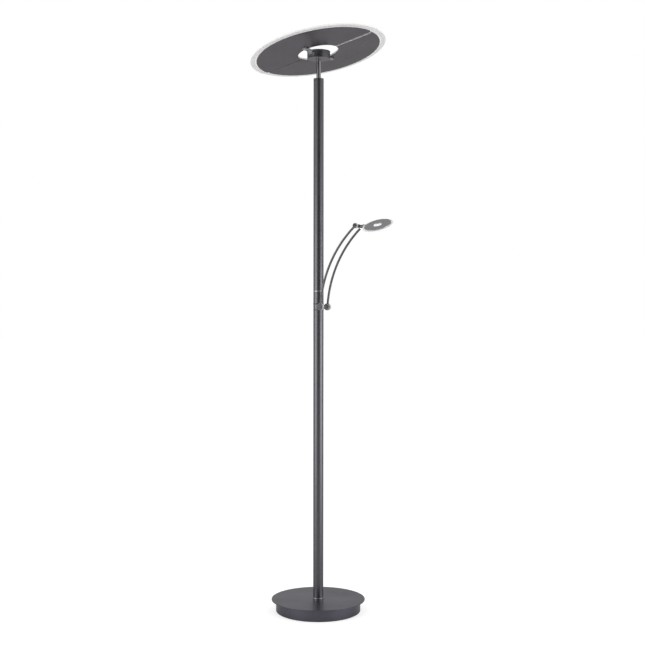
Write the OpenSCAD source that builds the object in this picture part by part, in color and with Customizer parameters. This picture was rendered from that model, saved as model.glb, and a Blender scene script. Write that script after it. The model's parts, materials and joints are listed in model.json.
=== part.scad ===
// Floor uplighter with a split tilting disc and a small reading lamp on a curved twin-rod arm.
// Millimetres. +Z is up, the origin is the centre of the felt under the base,
// and the reading arm leans towards +X. "near" pieces are on the -Y side, "far" on the +Y side.

/* [Base] */
// Radius of the top plate of the base
base_r = 146; // [120:1:200]
// Thickness of the top plate of the base
base_plate_t = 3; // [2:0.5:6]
// How far the top plate stands out past the drum
base_overhang = 14; // [4:1:25]
// Height of the top plate's upper face above the floor
base_h = 40; // [34:1:70]
// Wall thickness of the sheet-steel drum
drum_t = 1.5; // [1:0.1:3]
// Thickness of the felt under the base
felt_t = 2; // [1.5:0.5:5]
// Thickness of the bottom cover
cover_t = 1.2; // [0.8:0.1:2.5]
// Height of the space under the ballast for wires
wire_space_h = 14.8; // [13:0.1:18]
// Gap between the ballast's rim and the drum's wall
ballast_gap = 5; // [2:0.5:15]
// Radius of the cord that the inlet takes
cord_r = 3.5; // [2:0.1:5]

/* [Driver] */
// Length of the LED driver
driver_l = 130; // [80:1:140]
// Width of the LED driver
driver_w = 44; // [30:1:50]
// Height of the LED driver
driver_h = 22; // [15:1:28]
// Clearance around the driver in its window through the ballast
driver_room = 4; // [2:0.5:6]
// Least width of ballast left between that window and the rim
window_wall = 6; // [4:0.5:12]

/* [Pole] */
// Outer radius of the pole
pole_r = 16; // [12:0.5:20]
// Wall thickness of the pole's tubes
tube_t = 1.2; // [0.8:0.1:2]
// Height of the pole's top end above the floor
pole_top_z = 1669; // [1300:1:2000]
// Height of the lower tube's top end, where the arm's collar begins
lower_tube_top_z = 943; // [700:1:1100]
// Height of the bright ring at the foot
foot_ring_h = 3.5; // [2:0.5:8]
// How far the foot ring stands out past the pole
foot_ring_step = 1; // [0.3:0.1:3]
// Radius of the hollow threaded stud that clamps the base
stud_r = 5; // [4:0.5:6]
// Radius of the supply wire inside the pole
wire_r = 2.2; // [1.5:0.1:2.4]

/* [Collar and dimmer] */
// Wall of the bush between the fixed spindle and the upper tube
bush_t = 1.3; // [1:0.1:3]
// Height of the swivelling collar's zone between its rings
collar_h = 15.5; // [14.5:0.1:24]
// Height of each ring beside the collar
collar_ring_h = 3; // [2:0.5:6]
// How far these rings stand out past the pole
collar_ring_step = 0.9; // [0.3:0.1:3]
// Height of the dimmer sleeve's zone
dimmer_h = 36.5; // [20:0.5:60]
// Height of the bright ring above the dimmer
dimmer_ring_h = 3.5; // [2:0.5:6]
// Length of the spindle's plug inside the lower tube, and of the bush inside the upper tube
plug_l = 36; // [20:1:60]

/* [Reading arm] */
// How far the arm's lower pivot stands off the pole's surface
boss_reach = 4.5; // [4.5:0.1:10]
// Radius of the barrel that the lower pivot runs in
barrel_r = 6.5; // [5:0.1:7]
// Run of the arm from its lower to its upper pivot, along X
arm_run = 125; // [90:1:160]
// Rise of the arm from its lower to its upper pivot
arm_rise = 247.25; // [180:0.25:300]
// Radius of the arc that the rods follow
arm_arc_r = 350; // [250:5:600]
// Radius of each of the two rods
rod_r = 3.5; // [2:0.1:3.6]
// Radius of the lower pivot's end discs
lower_disc_r = 11; // [9:0.5:14]
// Radius of the upper pivot's end discs
upper_disc_r = 8; // [7:0.5:12]
// Thickness of the end discs
disc_t = 7.6; // [7.4:0.1:10]
// Radius of the lower pivot's axle
lower_axle_r = 2.5; // [2:0.1:3]
// Radius of the upper pivot's axle
upper_axle_r = 2; // [1.5:0.1:2.5]
// Radius of the barrel on the upper pivot's axle
knuckle_r = 5.5; // [4.5:0.1:7]

/* [Reading head] */
// Radius of the reading head's metal plate
reading_plate_r = 42; // [35:1:60]
// How far the clear disc stands out past the metal plate
reading_rim = 7; // [3:0.5:12]
// Radius of the hole through the reading head
reading_hole_r = 13.5; // [8:0.5:18]
// Thickness of the reading head's metal plate
reading_plate_t = 3; // [2:0.1:4]
// Thickness of the reading head's clear disc
reading_disc_t = 5; // [4.6:0.1:8]
// Radius of the neck between the upper pivot and the reading head
neck_r = 4; // [3.5:0.1:5]
// Distance from the upper pivot to the edge of the clear disc
neck_l = 17.5; // [14:0.5:40]
// Angle that the reading head is rolled about its neck
reading_roll = 28; // [-60:1:60]

/* [Uplight] */
// Outer radius of the translucent ring disc
uplight_r = 215; // [150:1:260]
// How far the translucent disc stands out past the metal plate
uplight_rim = 19; // [8:0.1:40]
// Radius of the hole in the middle of the uplight
uplight_hole_r = 64.3; // [50:0.1:80]
// Thickness of the metal half plates
uplight_plate_t = 3; // [2:0.1:5]
// Thickness of the translucent half discs
uplight_disc_t = 4.5; // [4.2:0.1:8]
// Width of the slit between the two halves
slit_w = 5; // [2:0.5:12]
// Rounding of the half plates' corners at the slit's outer ends
slit_corner_r = 7; // [1:0.5:20]
// Angle of the near half's +X side above level
near_half_tilt = 12; // [-20:0.5:20]
// Angle of the far half's +X side above level
far_half_tilt = 11.5; // [-20:0.5:20]
// Number of LEDs in each row of one half
leds_per_row = 14; // [6:1:20]

/* [Hub] */
// Length of bright rod between the pole and the hub
head_rod_l = 61.6; // [30:0.1:120]
// Radius of the bright rod
head_rod_r = 7; // [6:0.1:9]
// Radius of the hub
hub_r = 36; // [30:1:45]
// Height of the hub with its lid
hub_h = 24; // [22:0.5:40]
// Wall, floor and lid thickness of the hub
hub_t = 2; // [1.5:0.1:3]
// Height of the tilt axis above the hub's bottom face
pivot_h = 12.9; // [10:0.1:14]
// Radius of the hollow pivot pins
pin_r = 4; // [3:0.1:4.5]
// Radius of the yoke arm's knuckle
yoke_r = 6.5; // [5.6:0.1:7]
// Width of the yoke arm's bar
yoke_w = 14; // [10:1:20]
// Thickness of the yoke arm's bar
yoke_t = 4; // [2.5:0.1:5]
// How far the bar reaches under the plate past the hole's edge
yoke_lap = 24; // [18:1:40]

/* [Fits] */
// Radial clearance of a pin or sleeve that turns in its bore
running_fit = 0.05; // [0.02:0.01:0.1]
// Gap between faces that move past each other
side_gap = 0.3; // [0.2:0.05:0.6]
// Gap above and below a turning sleeve
end_play = 0.15; // [0.1:0.05:0.3]
// Radial clearance of a bolt in a plain hole
bolt_gap = 0.3; // [0.1:0.1:0.6]

/* [Hidden] */
$fn = 96;
NEAR = -1;
FAR = 1;

// Finishes
anthracite = [0.27, 0.27, 0.29];
bright = [0.82, 0.82, 0.84];
gunmetal = [0.5, 0.5, 0.52];
zinc = [0.66, 0.67, 0.69];
frosted = [0.93, 0.93, 0.91, 0.8];

// Base, from the floor up
drum_r = base_r - base_overhang;
drum_inner_r = drum_r - drum_t;
base_plate_z = base_h - base_plate_t;
ballast_top_z = base_plate_z - drum_t;
cover_top_z = felt_t + cover_t;
ballast_z = cover_top_z + wire_space_h;
ballast_r = drum_inner_r - ballast_gap;
felt_inset = 5;
felt_r = drum_r - felt_inset;
edge_r = 0.9;
screw_rim_gap = 16.5;
screw_circle_r = ballast_r - screw_rim_gap;
screw_angles = [30, 150, 270];
cover_screw_r = 2;
cover_screw_head_r = 4;
cover_screw_head_h = 1.5;
cover_screw_l = 22;
ballast_boss_r = 8;
driver_corner_x = driver_l / 2 + driver_room;
driver_y = sqrt(pow(ballast_r - window_wall, 2) - pow(driver_corner_x, 2)) - driver_w / 2 - driver_room;

// Cord inlet, at the back of the drum
grommet_body_r = cord_r + 1.5;
grommet_flange_r = cord_r + 3;
grommet_flange_t = 2.5;
grommet_depth = 6.5;
grommet_bore_r = cord_r + 0.2;
grommet_z = cover_top_z + wire_space_h / 2;

// Stud and the nut under the ballast
stud_nut_h = 9;
stud_nut_flange_h = 2;
stud_z = ballast_z - stud_nut_h - 1;
stud_engage = 22;
stud_bore_r = wire_r + 0.8;
foot_plug_l = 32;

// Pole, from the foot up
tube_inner_r = pole_r - tube_t;
spindle_r = tube_inner_r - bush_t;
foot_ring_z = base_h;
lower_tube_z = foot_ring_z + foot_ring_h;
spindle_bore_r = wire_r + 1.8;
lower_ring_z = lower_tube_top_z;
collar_z = lower_ring_z + collar_ring_h;
upper_ring_z = collar_z + collar_h;
dimmer_z = upper_ring_z + collar_ring_h;
dimmer_ring_z = dimmer_z + dimmer_h;
upper_tube_z = dimmer_ring_z + dimmer_ring_h;
collar_ring_r = pole_r + collar_ring_step;
top_plug_l = 24;
rod_spigot_r = 5;
rod_spigot_l = 20;
rod_top_spigot_r = 4;
rod_bore_r = wire_r + 0.3;

// Hub
hub_z = pole_top_z + head_rod_l;
hub_floor_z = hub_z + hub_t;
hub_lid_z = hub_z + hub_h - hub_t;
hub_inner_r = hub_r - hub_t;
pivot_z = hub_z + pivot_h;
rod_nut_r = 7.5;
rod_nut_h = 5.4;
terminal_size = [18, 16, 9];
terminal_x = 1 - sqrt(pow(hub_inner_r, 2) - pow(terminal_size[1] / 2, 2));

// Uplight pivots, measured outwards from the hub's middle
washer_t = 1.2;
pin_nut_r = pin_r + 3.2;
pin_nut_t = 3.5;
yoke_y = hub_r + side_gap + washer_t;
yoke_knuckle_l = 13.5;
pin_end_y = yoke_y + yoke_knuckle_l - 2;
inner_washer_y = sqrt(pow(hub_inner_r, 2) - pow(pin_nut_r, 2)) - side_gap - washer_t;
pin_nut_y = inner_washer_y - pin_nut_t;
pin_start_y = pin_nut_y - 1;
yoke_bar_end_y = uplight_hole_r + yoke_lap;
yoke_screw_r = 1.5;
yoke_screw_head_r = 2.75;
yoke_screw_head_h = 1.8;
yoke_screw_tip = 0.2;
yoke_screw_ys = [uplight_hole_r + 7, uplight_hole_r + 18];

// Uplight halves, from the plate up
uplight_plate_r = uplight_r - uplight_rim;
plate_z = pivot_z + yoke_r;
plate_top_z = plate_z + uplight_plate_t;
land_w = 6;
board_gap = 2;
board_t = 1.2;
led_h = 0.8;
led_size = 3;
led_room = 0.5;
board_inner_r = uplight_hole_r + land_w + board_gap;
board_outer_r = uplight_plate_r - land_w - board_gap;
led_rows = [for (k = [1:2]) board_inner_r + k * (board_outer_r - board_inner_r) / 3];
led_margin_angle = 8;

// Reading arm
pivot_x = pole_r + boss_reach;
lower_pivot = [pivot_x, collar_z + collar_h / 2];
upper_pivot = lower_pivot + [arm_run, arm_rise];
disc_y = collar_ring_r + side_gap;
rod_y = disc_y + disc_t / 2;
barrel_l = disc_y - side_gap;
axle_l = disc_y + disc_t - 1;
rod_stop = lower_axle_r + 1.7;
axle_seat_gap = 0.5;

// Reading head, in its own level frame around the neck's axis
reading_disc_r = reading_plate_r + reading_rim;
reading_x = upper_pivot[0] + neck_l + reading_disc_r;
neck_end_x = upper_pivot[0] + neck_l;
spigot_r = neck_r - 1.5;
spigot_l = 11;
socket_l = 15;
plate_drop = 0.5;
reading_board_t = 1;
reading_led_count = 16;
reading_land_w = 1.5;

// The arc's middle, for two points p and q on an arc of radius r
function arc_middle(p, q, r) =
    let (d = q - p, l = norm(d), h = sqrt(r * r - l * l / 4))
    (p + q) / 2 + h / l * [d[1], -d[0]];
function angle_from(c, p) = (atan2(p[1] - c[1], p[0] - c[0]) + 360) % 360;

arm_middle = arc_middle(lower_pivot, upper_pivot, arm_arc_r);
rod_stop_angle = rod_stop / arm_arc_r * 180 / PI;
rod_from = angle_from(arm_middle, upper_pivot) + rod_stop_angle;
rod_sweep = angle_from(arm_middle, lower_pivot) - rod_stop_angle - rod_from;

// A tube or ring standing on z
module ring(outer, inner, z, h) {
    translate([0, 0, z]) difference() {
        cylinder(r = outer, h = h);
        translate([0, 0, -1]) cylinder(r = inner, h = h + 2);
    }
}

// A disc or ring with softened edges all round, standing on z
module soft_ring(outer, inner, z, h, edge) {
    translate([0, 0, z]) rotate_extrude() {
        translate([inner, edge]) square([outer - inner, h - 2 * edge]);
        translate([inner, 0]) square([outer - inner - edge, h]);
        for (y = [edge, h - edge]) translate([outer - edge, y]) circle(r = edge);
    }
}

// A cylinder along Y from y0 to y1 in the XZ plane at p
module bar_y(p, r, y0, y1, sides = $fn) {
    translate([p[0], y0, p[1]]) rotate([-90, 0, 0]) cylinder(r = r, h = y1 - y0, $fn = sides);
}

// The same on one side of the XZ plane, measured outwards
module side_bar(side, p, r, from, to, sides = $fn) {
    bar_y(p, r, min(side * from, side * to), max(side * from, side * to), sides);
}

// Places children at each of the three screws under the base
module at_cover_screws() {
    for (a = screw_angles) rotate([0, 0, a]) translate([screw_circle_r, 0, 0]) children();
}

// ---------- Base ----------

module base_felt() {
    color([0.12, 0.12, 0.12]) difference() {
        cylinder(r = felt_r, h = felt_t);
        at_cover_screws() translate([0, 0, -1]) cylinder(r = cover_screw_head_r + 1, h = felt_t + 2);
    }
}

module bottom_cover() {
    color(zinc) translate([0, 0, felt_t]) difference() {
        cylinder(r = drum_inner_r - bolt_gap, h = cover_t);
        at_cover_screws() translate([0, 0, -1]) cylinder(r = cover_screw_r + bolt_gap, h = cover_t + 2);
    }
}

module cover_screws() {
    color(zinc) at_cover_screws() {
        translate([0, 0, felt_t - cover_screw_head_h])
            cylinder(r = cover_screw_head_r, h = cover_screw_head_h);
        translate([0, 0, felt_t - cover_screw_head_h])
            cylinder(r = cover_screw_r, h = cover_screw_l + cover_screw_head_h);
    }
}

module ballast_weight() {
    window = [driver_l + 2 * driver_room, driver_w + 2 * driver_room, base_h];
    color([0.2, 0.2, 0.2]) difference() {
        union() {
            translate([0, 0, ballast_z]) cylinder(r = ballast_r, h = ballast_top_z - ballast_z);
            at_cover_screws() translate([0, 0, cover_top_z])
                cylinder(r = ballast_boss_r, h = wire_space_h + 1);
        }
        translate([-window[0] / 2, driver_y - window[1] / 2, 0]) cube(window);
        cylinder(r = stud_r + bolt_gap, h = base_h);
        at_cover_screws() cylinder(r = cover_screw_r, h = felt_t + cover_screw_l);
    }
}

module led_driver() {
    color([0.9, 0.9, 0.88]) translate([-driver_l / 2, driver_y - driver_w / 2, cover_top_z])
        cube([driver_l, driver_w, driver_h]);
}

module base_drum() {
    color(anthracite) difference() {
        translate([0, 0, felt_t]) cylinder(r = drum_r, h = base_plate_z - felt_t);
        cylinder(r = drum_inner_r, h = ballast_top_z);
        cylinder(r = stud_r + bolt_gap, h = base_h);
        bar_y([0, grommet_z], grommet_body_r, drum_inner_r - 2, drum_r + 1);
    }
}

module base_plate() {
    color(anthracite) soft_ring(base_r, stud_r + bolt_gap, base_plate_z, base_plate_t, edge_r);
}

module cord_grommet() {
    color([0.08, 0.08, 0.08]) difference() {
        union() {
            bar_y([0, grommet_z], grommet_body_r, drum_r - grommet_depth, drum_r + grommet_flange_t);
            bar_y([0, grommet_z], grommet_flange_r, drum_r, drum_r + grommet_flange_t);
        }
        bar_y([0, grommet_z], grommet_bore_r, drum_r - grommet_depth - 1, drum_r + grommet_flange_t + 1);
    }
}

module pole_stud() {
    color(zinc) ring(stud_r, stud_bore_r, stud_z, base_h + foot_ring_h + stud_engage - stud_z);
}

module stud_nut() {
    color(zinc) difference() {
        union() {
            translate([0, 0, ballast_z - stud_nut_h]) cylinder(r = stud_r + 4.2, h = stud_nut_h, $fn = 6);
            translate([0, 0, ballast_z - stud_nut_flange_h])
                cylinder(r = stud_r + 6, h = stud_nut_flange_h);
        }
        cylinder(r = stud_r, h = ballast_z + 1);
    }
}

// ---------- Pole ----------

module foot_plug() {
    color(zinc) ring(tube_inner_r, stud_r, lower_tube_z, foot_plug_l);
}

module foot_ring() {
    color(bright) soft_ring(pole_r + foot_ring_step, stud_r + bolt_gap, foot_ring_z, foot_ring_h, edge_r);
}

module lower_tube() {
    color(anthracite) ring(pole_r, tube_inner_r, lower_tube_z, lower_tube_top_z - lower_tube_z);
}

module joint_spindle() {
    color(zinc) difference() {
        union() {
            translate([0, 0, lower_tube_top_z - plug_l]) cylinder(r = tube_inner_r, h = plug_l);
            translate([0, 0, lower_tube_top_z - 1])
                cylinder(r = spindle_r, h = upper_tube_z + plug_l - lower_tube_top_z + 1);
        }
        translate([0, 0, lower_tube_top_z - plug_l - 1])
            cylinder(r = spindle_bore_r, h = upper_tube_z + 2 * plug_l - lower_tube_top_z + 2);
    }
}

module collar_ring(z) {
    color(gunmetal) soft_ring(collar_ring_r, spindle_r, z, collar_ring_h, edge_r);
}

module dimmer_ring() {
    color(bright) ring(pole_r, spindle_r, dimmer_ring_z, dimmer_ring_h);
}

module spindle_bush() {
    color(zinc) ring(tube_inner_r, spindle_r, upper_tube_z, plug_l);
}

module upper_tube() {
    color(anthracite) ring(pole_r, tube_inner_r, upper_tube_z, pole_top_z - upper_tube_z);
}

module top_plug() {
    color([0.15, 0.15, 0.16]) ring(tube_inner_r, rod_spigot_r, pole_top_z - top_plug_l, top_plug_l);
}

module head_rod() {
    color(bright) difference() {
        union() {
            translate([0, 0, pole_top_z - rod_spigot_l]) cylinder(r = rod_spigot_r, h = rod_spigot_l + 1);
            translate([0, 0, pole_top_z]) cylinder(r = head_rod_r, h = head_rod_l);
            translate([0, 0, hub_z - 1]) cylinder(r = rod_top_spigot_r, h = hub_t + rod_nut_h + 2);
        }
        translate([0, 0, pole_top_z - rod_spigot_l - 1])
            cylinder(r = rod_bore_r, h = rod_spigot_l + head_rod_l + hub_h);
    }
}

module pole_wire() {
    wire_z = cover_top_z + wire_r + 0.2;
    color([0.85, 0.85, 0.85]) {
        translate([0, 0, wire_z]) cylinder(r = wire_r, h = hub_floor_z + rod_nut_h + 3 - wire_z);
        translate([0, 0, wire_z]) sphere(r = wire_r);
        bar_y([0, wire_z], wire_r, 0, driver_y - driver_w / 2);
    }
}

// ---------- Hub ----------

module rod_nut() {
    color(zinc) translate([0, 0, hub_floor_z]) difference() {
        cylinder(r = rod_nut_r, h = rod_nut_h, $fn = 6);
        translate([0, 0, -1]) cylinder(r = rod_top_spigot_r, h = rod_nut_h + 2);
    }
}

module hub_cup() {
    color(anthracite) difference() {
        translate([0, 0, hub_z]) cylinder(r = hub_r, h = hub_lid_z - hub_z);
        translate([0, 0, hub_floor_z]) cylinder(r = hub_inner_r, h = hub_h);
        translate([0, 0, hub_z - 1]) cylinder(r = rod_top_spigot_r, h = hub_t + 2);
        bar_y([0, pivot_z], pin_r + running_fit, -hub_r - 1, hub_r + 1);
    }
}

module hub_lid() {
    color(anthracite) translate([0, 0, hub_lid_z]) cylinder(r = hub_r, h = hub_t);
}

module terminal_block() {
    color([0.92, 0.92, 0.9])
        translate([terminal_x, -terminal_size[1] / 2, hub_floor_z]) cube(terminal_size);
}

// ---------- Dimmer and collar ----------

module dimmer_sleeve() {
    color(anthracite)
        ring(pole_r, spindle_r + running_fit, dimmer_z + end_play, dimmer_h - 2 * end_play);
}

module arm_collar() {
    color(anthracite) difference() {
        union() {
            translate([0, 0, collar_z + end_play]) cylinder(r = pole_r, h = collar_h - 2 * end_play);
            bar_y(lower_pivot, barrel_r, -barrel_l, barrel_l);
        }
        translate([0, 0, collar_z]) cylinder(r = spindle_r + running_fit, h = collar_h);
        bar_y(lower_pivot, lower_axle_r + running_fit, -disc_y, disc_y);
    }
}

// ---------- Reading arm ----------

module lower_axle() {
    color(bright) bar_y(lower_pivot, lower_axle_r, -axle_l, axle_l);
}

module upper_axle() {
    color(bright) bar_y(upper_pivot, upper_axle_r, -axle_l, axle_l);
}

module arm_rod(side) {
    color(gunmetal) translate([arm_middle[0], side * rod_y, arm_middle[1]])
        rotate([90, 0, 0]) rotate([0, 0, rod_from]) rotate_extrude(angle = rod_sweep)
            translate([arm_arc_r, 0]) circle(r = rod_r);
}

module end_disc(side, pivot, disc_r, axle_r) {
    color(bright) difference() {
        side_bar(side, pivot, disc_r, disc_y, disc_y + disc_t);
        side_bar(side, pivot, axle_r, disc_y - 1, axle_l);
        arm_rod(side);
    }
}

module reading_knuckle() {
    color(bright) difference() {
        union() {
            bar_y(upper_pivot, knuckle_r, -barrel_l, barrel_l);
            translate([upper_pivot[0], 0, upper_pivot[1]]) rotate([0, 90, 0]) {
                cylinder(r = neck_r, h = neck_l - side_gap);
                cylinder(r = spigot_r, h = neck_l + spigot_l);
            }
        }
        bar_y(upper_pivot, upper_axle_r + running_fit, -disc_y, disc_y);
    }
}

// ---------- Reading head ----------

// Turns what is drawn level, around the middle of the head, to the head's rest roll
module rolled() {
    translate([reading_x, 0, upper_pivot[1]]) rotate([reading_roll, 0, 0]) children();
}

// The room that the neck's socket takes in the plate and the discs
module socket_room() {
    translate([-reading_disc_r - 1, -neck_r, -reading_disc_t - 5])
        cube([socket_l + 1, 2 * neck_r, reading_disc_t + 12]);
}

module reading_socket() {
    color(anthracite) rolled() translate([-reading_disc_r, 0, 0]) rotate([0, 90, 0]) difference() {
        cylinder(r = neck_r, h = socket_l);
        translate([0, 0, -1]) cylinder(r = spigot_r + running_fit, h = spigot_l + side_gap + 1);
    }
}

module reading_plate() {
    color([0.5, 0.5, 0.51]) rolled() difference() {
        soft_ring(reading_plate_r, reading_hole_r, -plate_drop, reading_plate_t, edge_r);
        socket_room();
    }
}

module reading_led_board() {
    color([0.95, 0.95, 0.93]) rolled() difference() {
        ring(reading_plate_r - reading_land_w - board_gap, reading_hole_r + reading_land_w + board_gap,
             -plate_drop - reading_board_t, reading_board_t);
        socket_room();
    }
}

module reading_leds() {
    led_circle_r = (reading_plate_r + reading_hole_r) / 2;
    color([0.95, 0.85, 0.4]) rolled() for (k = [0:reading_led_count - 1])
        rotate([0, 0, 180 + (k + 0.5) * 360 / reading_led_count])
            translate([led_circle_r - led_size / 2, -led_size / 2,
                       -plate_drop - reading_board_t - led_h])
                cube([led_size, led_size, led_h]);
}

module reading_diffuser() {
    pocket_h = reading_board_t + led_h + led_room;
    color(frosted) rolled() difference() {
        soft_ring(reading_disc_r, reading_hole_r, -plate_drop - reading_disc_t, reading_disc_t, edge_r);
        ring(reading_plate_r - reading_land_w, reading_hole_r + reading_land_w,
             -plate_drop - pocket_h, pocket_h + 1);
        socket_room();
    }
}

// ---------- Uplight ----------

// Turns what is drawn level to that half's rest tilt about the pivots
module tilted(side) {
    translate([0, 0, pivot_z]) rotate([0, side == NEAR ? -near_half_tilt : -far_half_tilt, 0])
        translate([0, 0, -pivot_z]) children();
}

// Keeps one side of a ring, cut back from the slit
module half(side, z, h, gap = 0) {
    cut = slit_w / 2 + gap;
    intersection() {
        children();
        translate([-uplight_r - 1, side > 0 ? cut : -cut - uplight_r - 1, z - 1])
            cube([2 * uplight_r + 2, uplight_r + 1, h + 2]);
    }
}

// What rounding takes off a half plate's two corners at the slit's outer ends
module slit_corners(side) {
    y = slit_w / 2 + slit_corner_r;
    x = sqrt(pow(uplight_plate_r - slit_corner_r, 2) - y * y);
    past = uplight_plate_r + 1;
    for (end = [-1, 1]) translate([0, 0, plate_z - 1]) difference() {
        linear_extrude(uplight_plate_t + 2) polygon([[end * x, side * y], [end * x, 0],
                                                     [end * past, 0], [end * past, side * past * y / x]]);
        translate([end * x, side * y, -1]) cylinder(r = slit_corner_r, h = uplight_plate_t + 4);
    }
}

module half_plate(side) {
    color(anthracite) tilted(side) difference() {
        half(side, plate_z, uplight_plate_t)
            soft_ring(uplight_plate_r, uplight_hole_r, plate_z, uplight_plate_t, edge_r);
        at_yoke_screws(side) cylinder(r = yoke_screw_r, h = uplight_plate_t + 1 - yoke_screw_tip);
        slit_corners(side);
    }
}

module half_diffuser(side) {
    pocket_h = board_t + led_h + led_room;
    color(frosted) tilted(side) difference() {
        half(side, plate_top_z, uplight_disc_t)
            soft_ring(uplight_r, uplight_hole_r, plate_top_z, uplight_disc_t, edge_r);
        half(side, plate_top_z - 1, pocket_h + 1, land_w)
            ring(uplight_plate_r - land_w, uplight_hole_r + land_w, plate_top_z - 1, pocket_h + 1);
    }
}

module led_board(side) {
    color([0.95, 0.95, 0.93]) tilted(side) half(side, plate_top_z, board_t, land_w + board_gap)
        ring(board_outer_r, board_inner_r, plate_top_z, board_t);
}

module leds(side) {
    span = 180 - 2 * led_margin_angle;
    color([0.95, 0.85, 0.4]) tilted(side) for (row_r = led_rows, k = [0:leds_per_row - 1])
        rotate([0, 0, side * (led_margin_angle + k * span / (leds_per_row - 1))])
            translate([row_r - led_size / 2, -led_size / 2, plate_top_z + board_t])
                cube([led_size, led_size, led_h]);
}

// Places children under each yoke screw, 1 mm below the plate
module at_yoke_screws(side) {
    for (y = yoke_screw_ys) translate([0, side * y, plate_z - 1]) children();
}

module yoke_arm(side) {
    bar_y0 = min(side * yoke_y, side * yoke_bar_end_y);
    color(gunmetal) tilted(side) difference() {
        union() {
            side_bar(side, [0, pivot_z], yoke_r, yoke_y, yoke_y + yoke_knuckle_l);
            translate([-yoke_w / 2, bar_y0, plate_z - yoke_t])
                cube([yoke_w, yoke_bar_end_y - yoke_y, yoke_t]);
        }
        side_bar(side, [0, pivot_z], pin_r, yoke_y - 1, pin_end_y);
        at_yoke_screws(side) translate([0, 0, -yoke_t]) cylinder(r = yoke_screw_r, h = yoke_t + 2);
    }
}

module yoke_screws(side) {
    color(bright) tilted(side) at_yoke_screws(side) {
        translate([0, 0, 1 - yoke_t - yoke_screw_head_h])
            cylinder(r = yoke_screw_head_r, h = yoke_screw_head_h);
        translate([0, 0, 1 - yoke_t - yoke_screw_head_h])
            cylinder(r = yoke_screw_r, h = yoke_screw_head_h + yoke_t + uplight_plate_t - yoke_screw_tip);
    }
}

module pivot_pin(side) {
    color(zinc) difference() {
        side_bar(side, [0, pivot_z], pin_r, pin_start_y, pin_end_y);
        side_bar(side, [0, pivot_z], pin_r / 2, pin_start_y - 1, pin_end_y - 2);
    }
}

module pivot_nut(side) {
    color(zinc) difference() {
        side_bar(side, [0, pivot_z], pin_nut_r, pin_nut_y, pin_nut_y + pin_nut_t, 6);
        side_bar(side, [0, pivot_z], pin_r, pin_nut_y - 1, pin_nut_y + pin_nut_t + 1);
    }
}

module pin_washers(side) {
    color([0.85, 0.84, 0.8]) for (y = [inner_washer_y, yoke_y - washer_t]) difference() {
        side_bar(side, [0, pivot_z], yoke_r, y, y + washer_t);
        side_bar(side, [0, pivot_z], pin_r, y - 1, y + washer_t + 1);
    }
}

base_felt();
bottom_cover();
cover_screws();
ballast_weight();
led_driver();
base_drum();
base_plate();
cord_grommet();
pole_stud();
stud_nut();
foot_plug();
foot_ring();
lower_tube();
joint_spindle();
collar_ring(lower_ring_z);  // lower_collar_ring
collar_ring(upper_ring_z);  // upper_collar_ring
dimmer_ring();
spindle_bush();
upper_tube();
top_plug();
head_rod();
rod_nut();
hub_cup();
hub_lid();
terminal_block();
pole_wire();
dimmer_sleeve();
arm_collar();
lower_axle();
end_disc(NEAR, lower_pivot, lower_disc_r, lower_axle_r);  // near_lower_disc
end_disc(FAR, lower_pivot, lower_disc_r, lower_axle_r);  // far_lower_disc
arm_rod(NEAR);  // near_arm_rod
arm_rod(FAR);  // far_arm_rod
end_disc(NEAR, upper_pivot, upper_disc_r, upper_axle_r);  // near_upper_disc
end_disc(FAR, upper_pivot, upper_disc_r, upper_axle_r);  // far_upper_disc
upper_axle();
reading_knuckle();
reading_socket();
reading_plate();
reading_led_board();
reading_leds();
reading_diffuser();
half_plate(NEAR);  // near_half_plate
half_diffuser(NEAR);  // near_half_diffuser
led_board(NEAR);  // near_led_board
leds(NEAR);  // near_leds
yoke_arm(NEAR);  // near_yoke_arm
yoke_screws(NEAR);  // near_yoke_screws
pivot_pin(NEAR);  // near_pivot_pin
pivot_nut(NEAR);  // near_pivot_nut
pin_washers(NEAR);  // near_pin_washers
half_plate(FAR);  // far_half_plate
half_diffuser(FAR);  // far_half_diffuser
led_board(FAR);  // far_led_board
leds(FAR);  // far_leds
yoke_arm(FAR);  // far_yoke_arm
yoke_screws(FAR);  // far_yoke_screws
pivot_pin(FAR);  // far_pivot_pin
pivot_nut(FAR);  // far_pivot_nut
pin_washers(FAR);  // far_pin_washers
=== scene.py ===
"""A floor uplighter with a split tilting disc and a reading lamp on a curved twin-rod arm.

Each operator builds one group of the lamp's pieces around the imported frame, in metres.
"near" pieces are on the -Y side of the lamp and "far" pieces on the +Y side.
"""

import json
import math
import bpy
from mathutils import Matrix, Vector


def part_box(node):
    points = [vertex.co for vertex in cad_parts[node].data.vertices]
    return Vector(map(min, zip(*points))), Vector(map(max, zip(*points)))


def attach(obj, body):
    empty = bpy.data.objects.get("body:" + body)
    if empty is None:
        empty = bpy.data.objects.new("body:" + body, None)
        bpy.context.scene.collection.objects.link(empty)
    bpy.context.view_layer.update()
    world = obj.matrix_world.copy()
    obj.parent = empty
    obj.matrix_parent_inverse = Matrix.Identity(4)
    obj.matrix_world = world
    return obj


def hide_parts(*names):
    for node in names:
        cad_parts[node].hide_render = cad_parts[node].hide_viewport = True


bl_info = {
    "name": "Split-disc floor uplighter",
    "version": (1, 0, 0),
    "blender": (4, 5, 0),
    "location": "View3D > Sidebar > Uplighter",
    "description": "Builds the pieces, finishes and studio of a floor uplighter with a reading arm",
    "category": "Object",
}

import bmesh
import bpy
from bpy.props import FloatProperty, FloatVectorProperty, IntProperty, PointerProperty
from mathutils import Matrix, Quaternion, Vector

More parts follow.
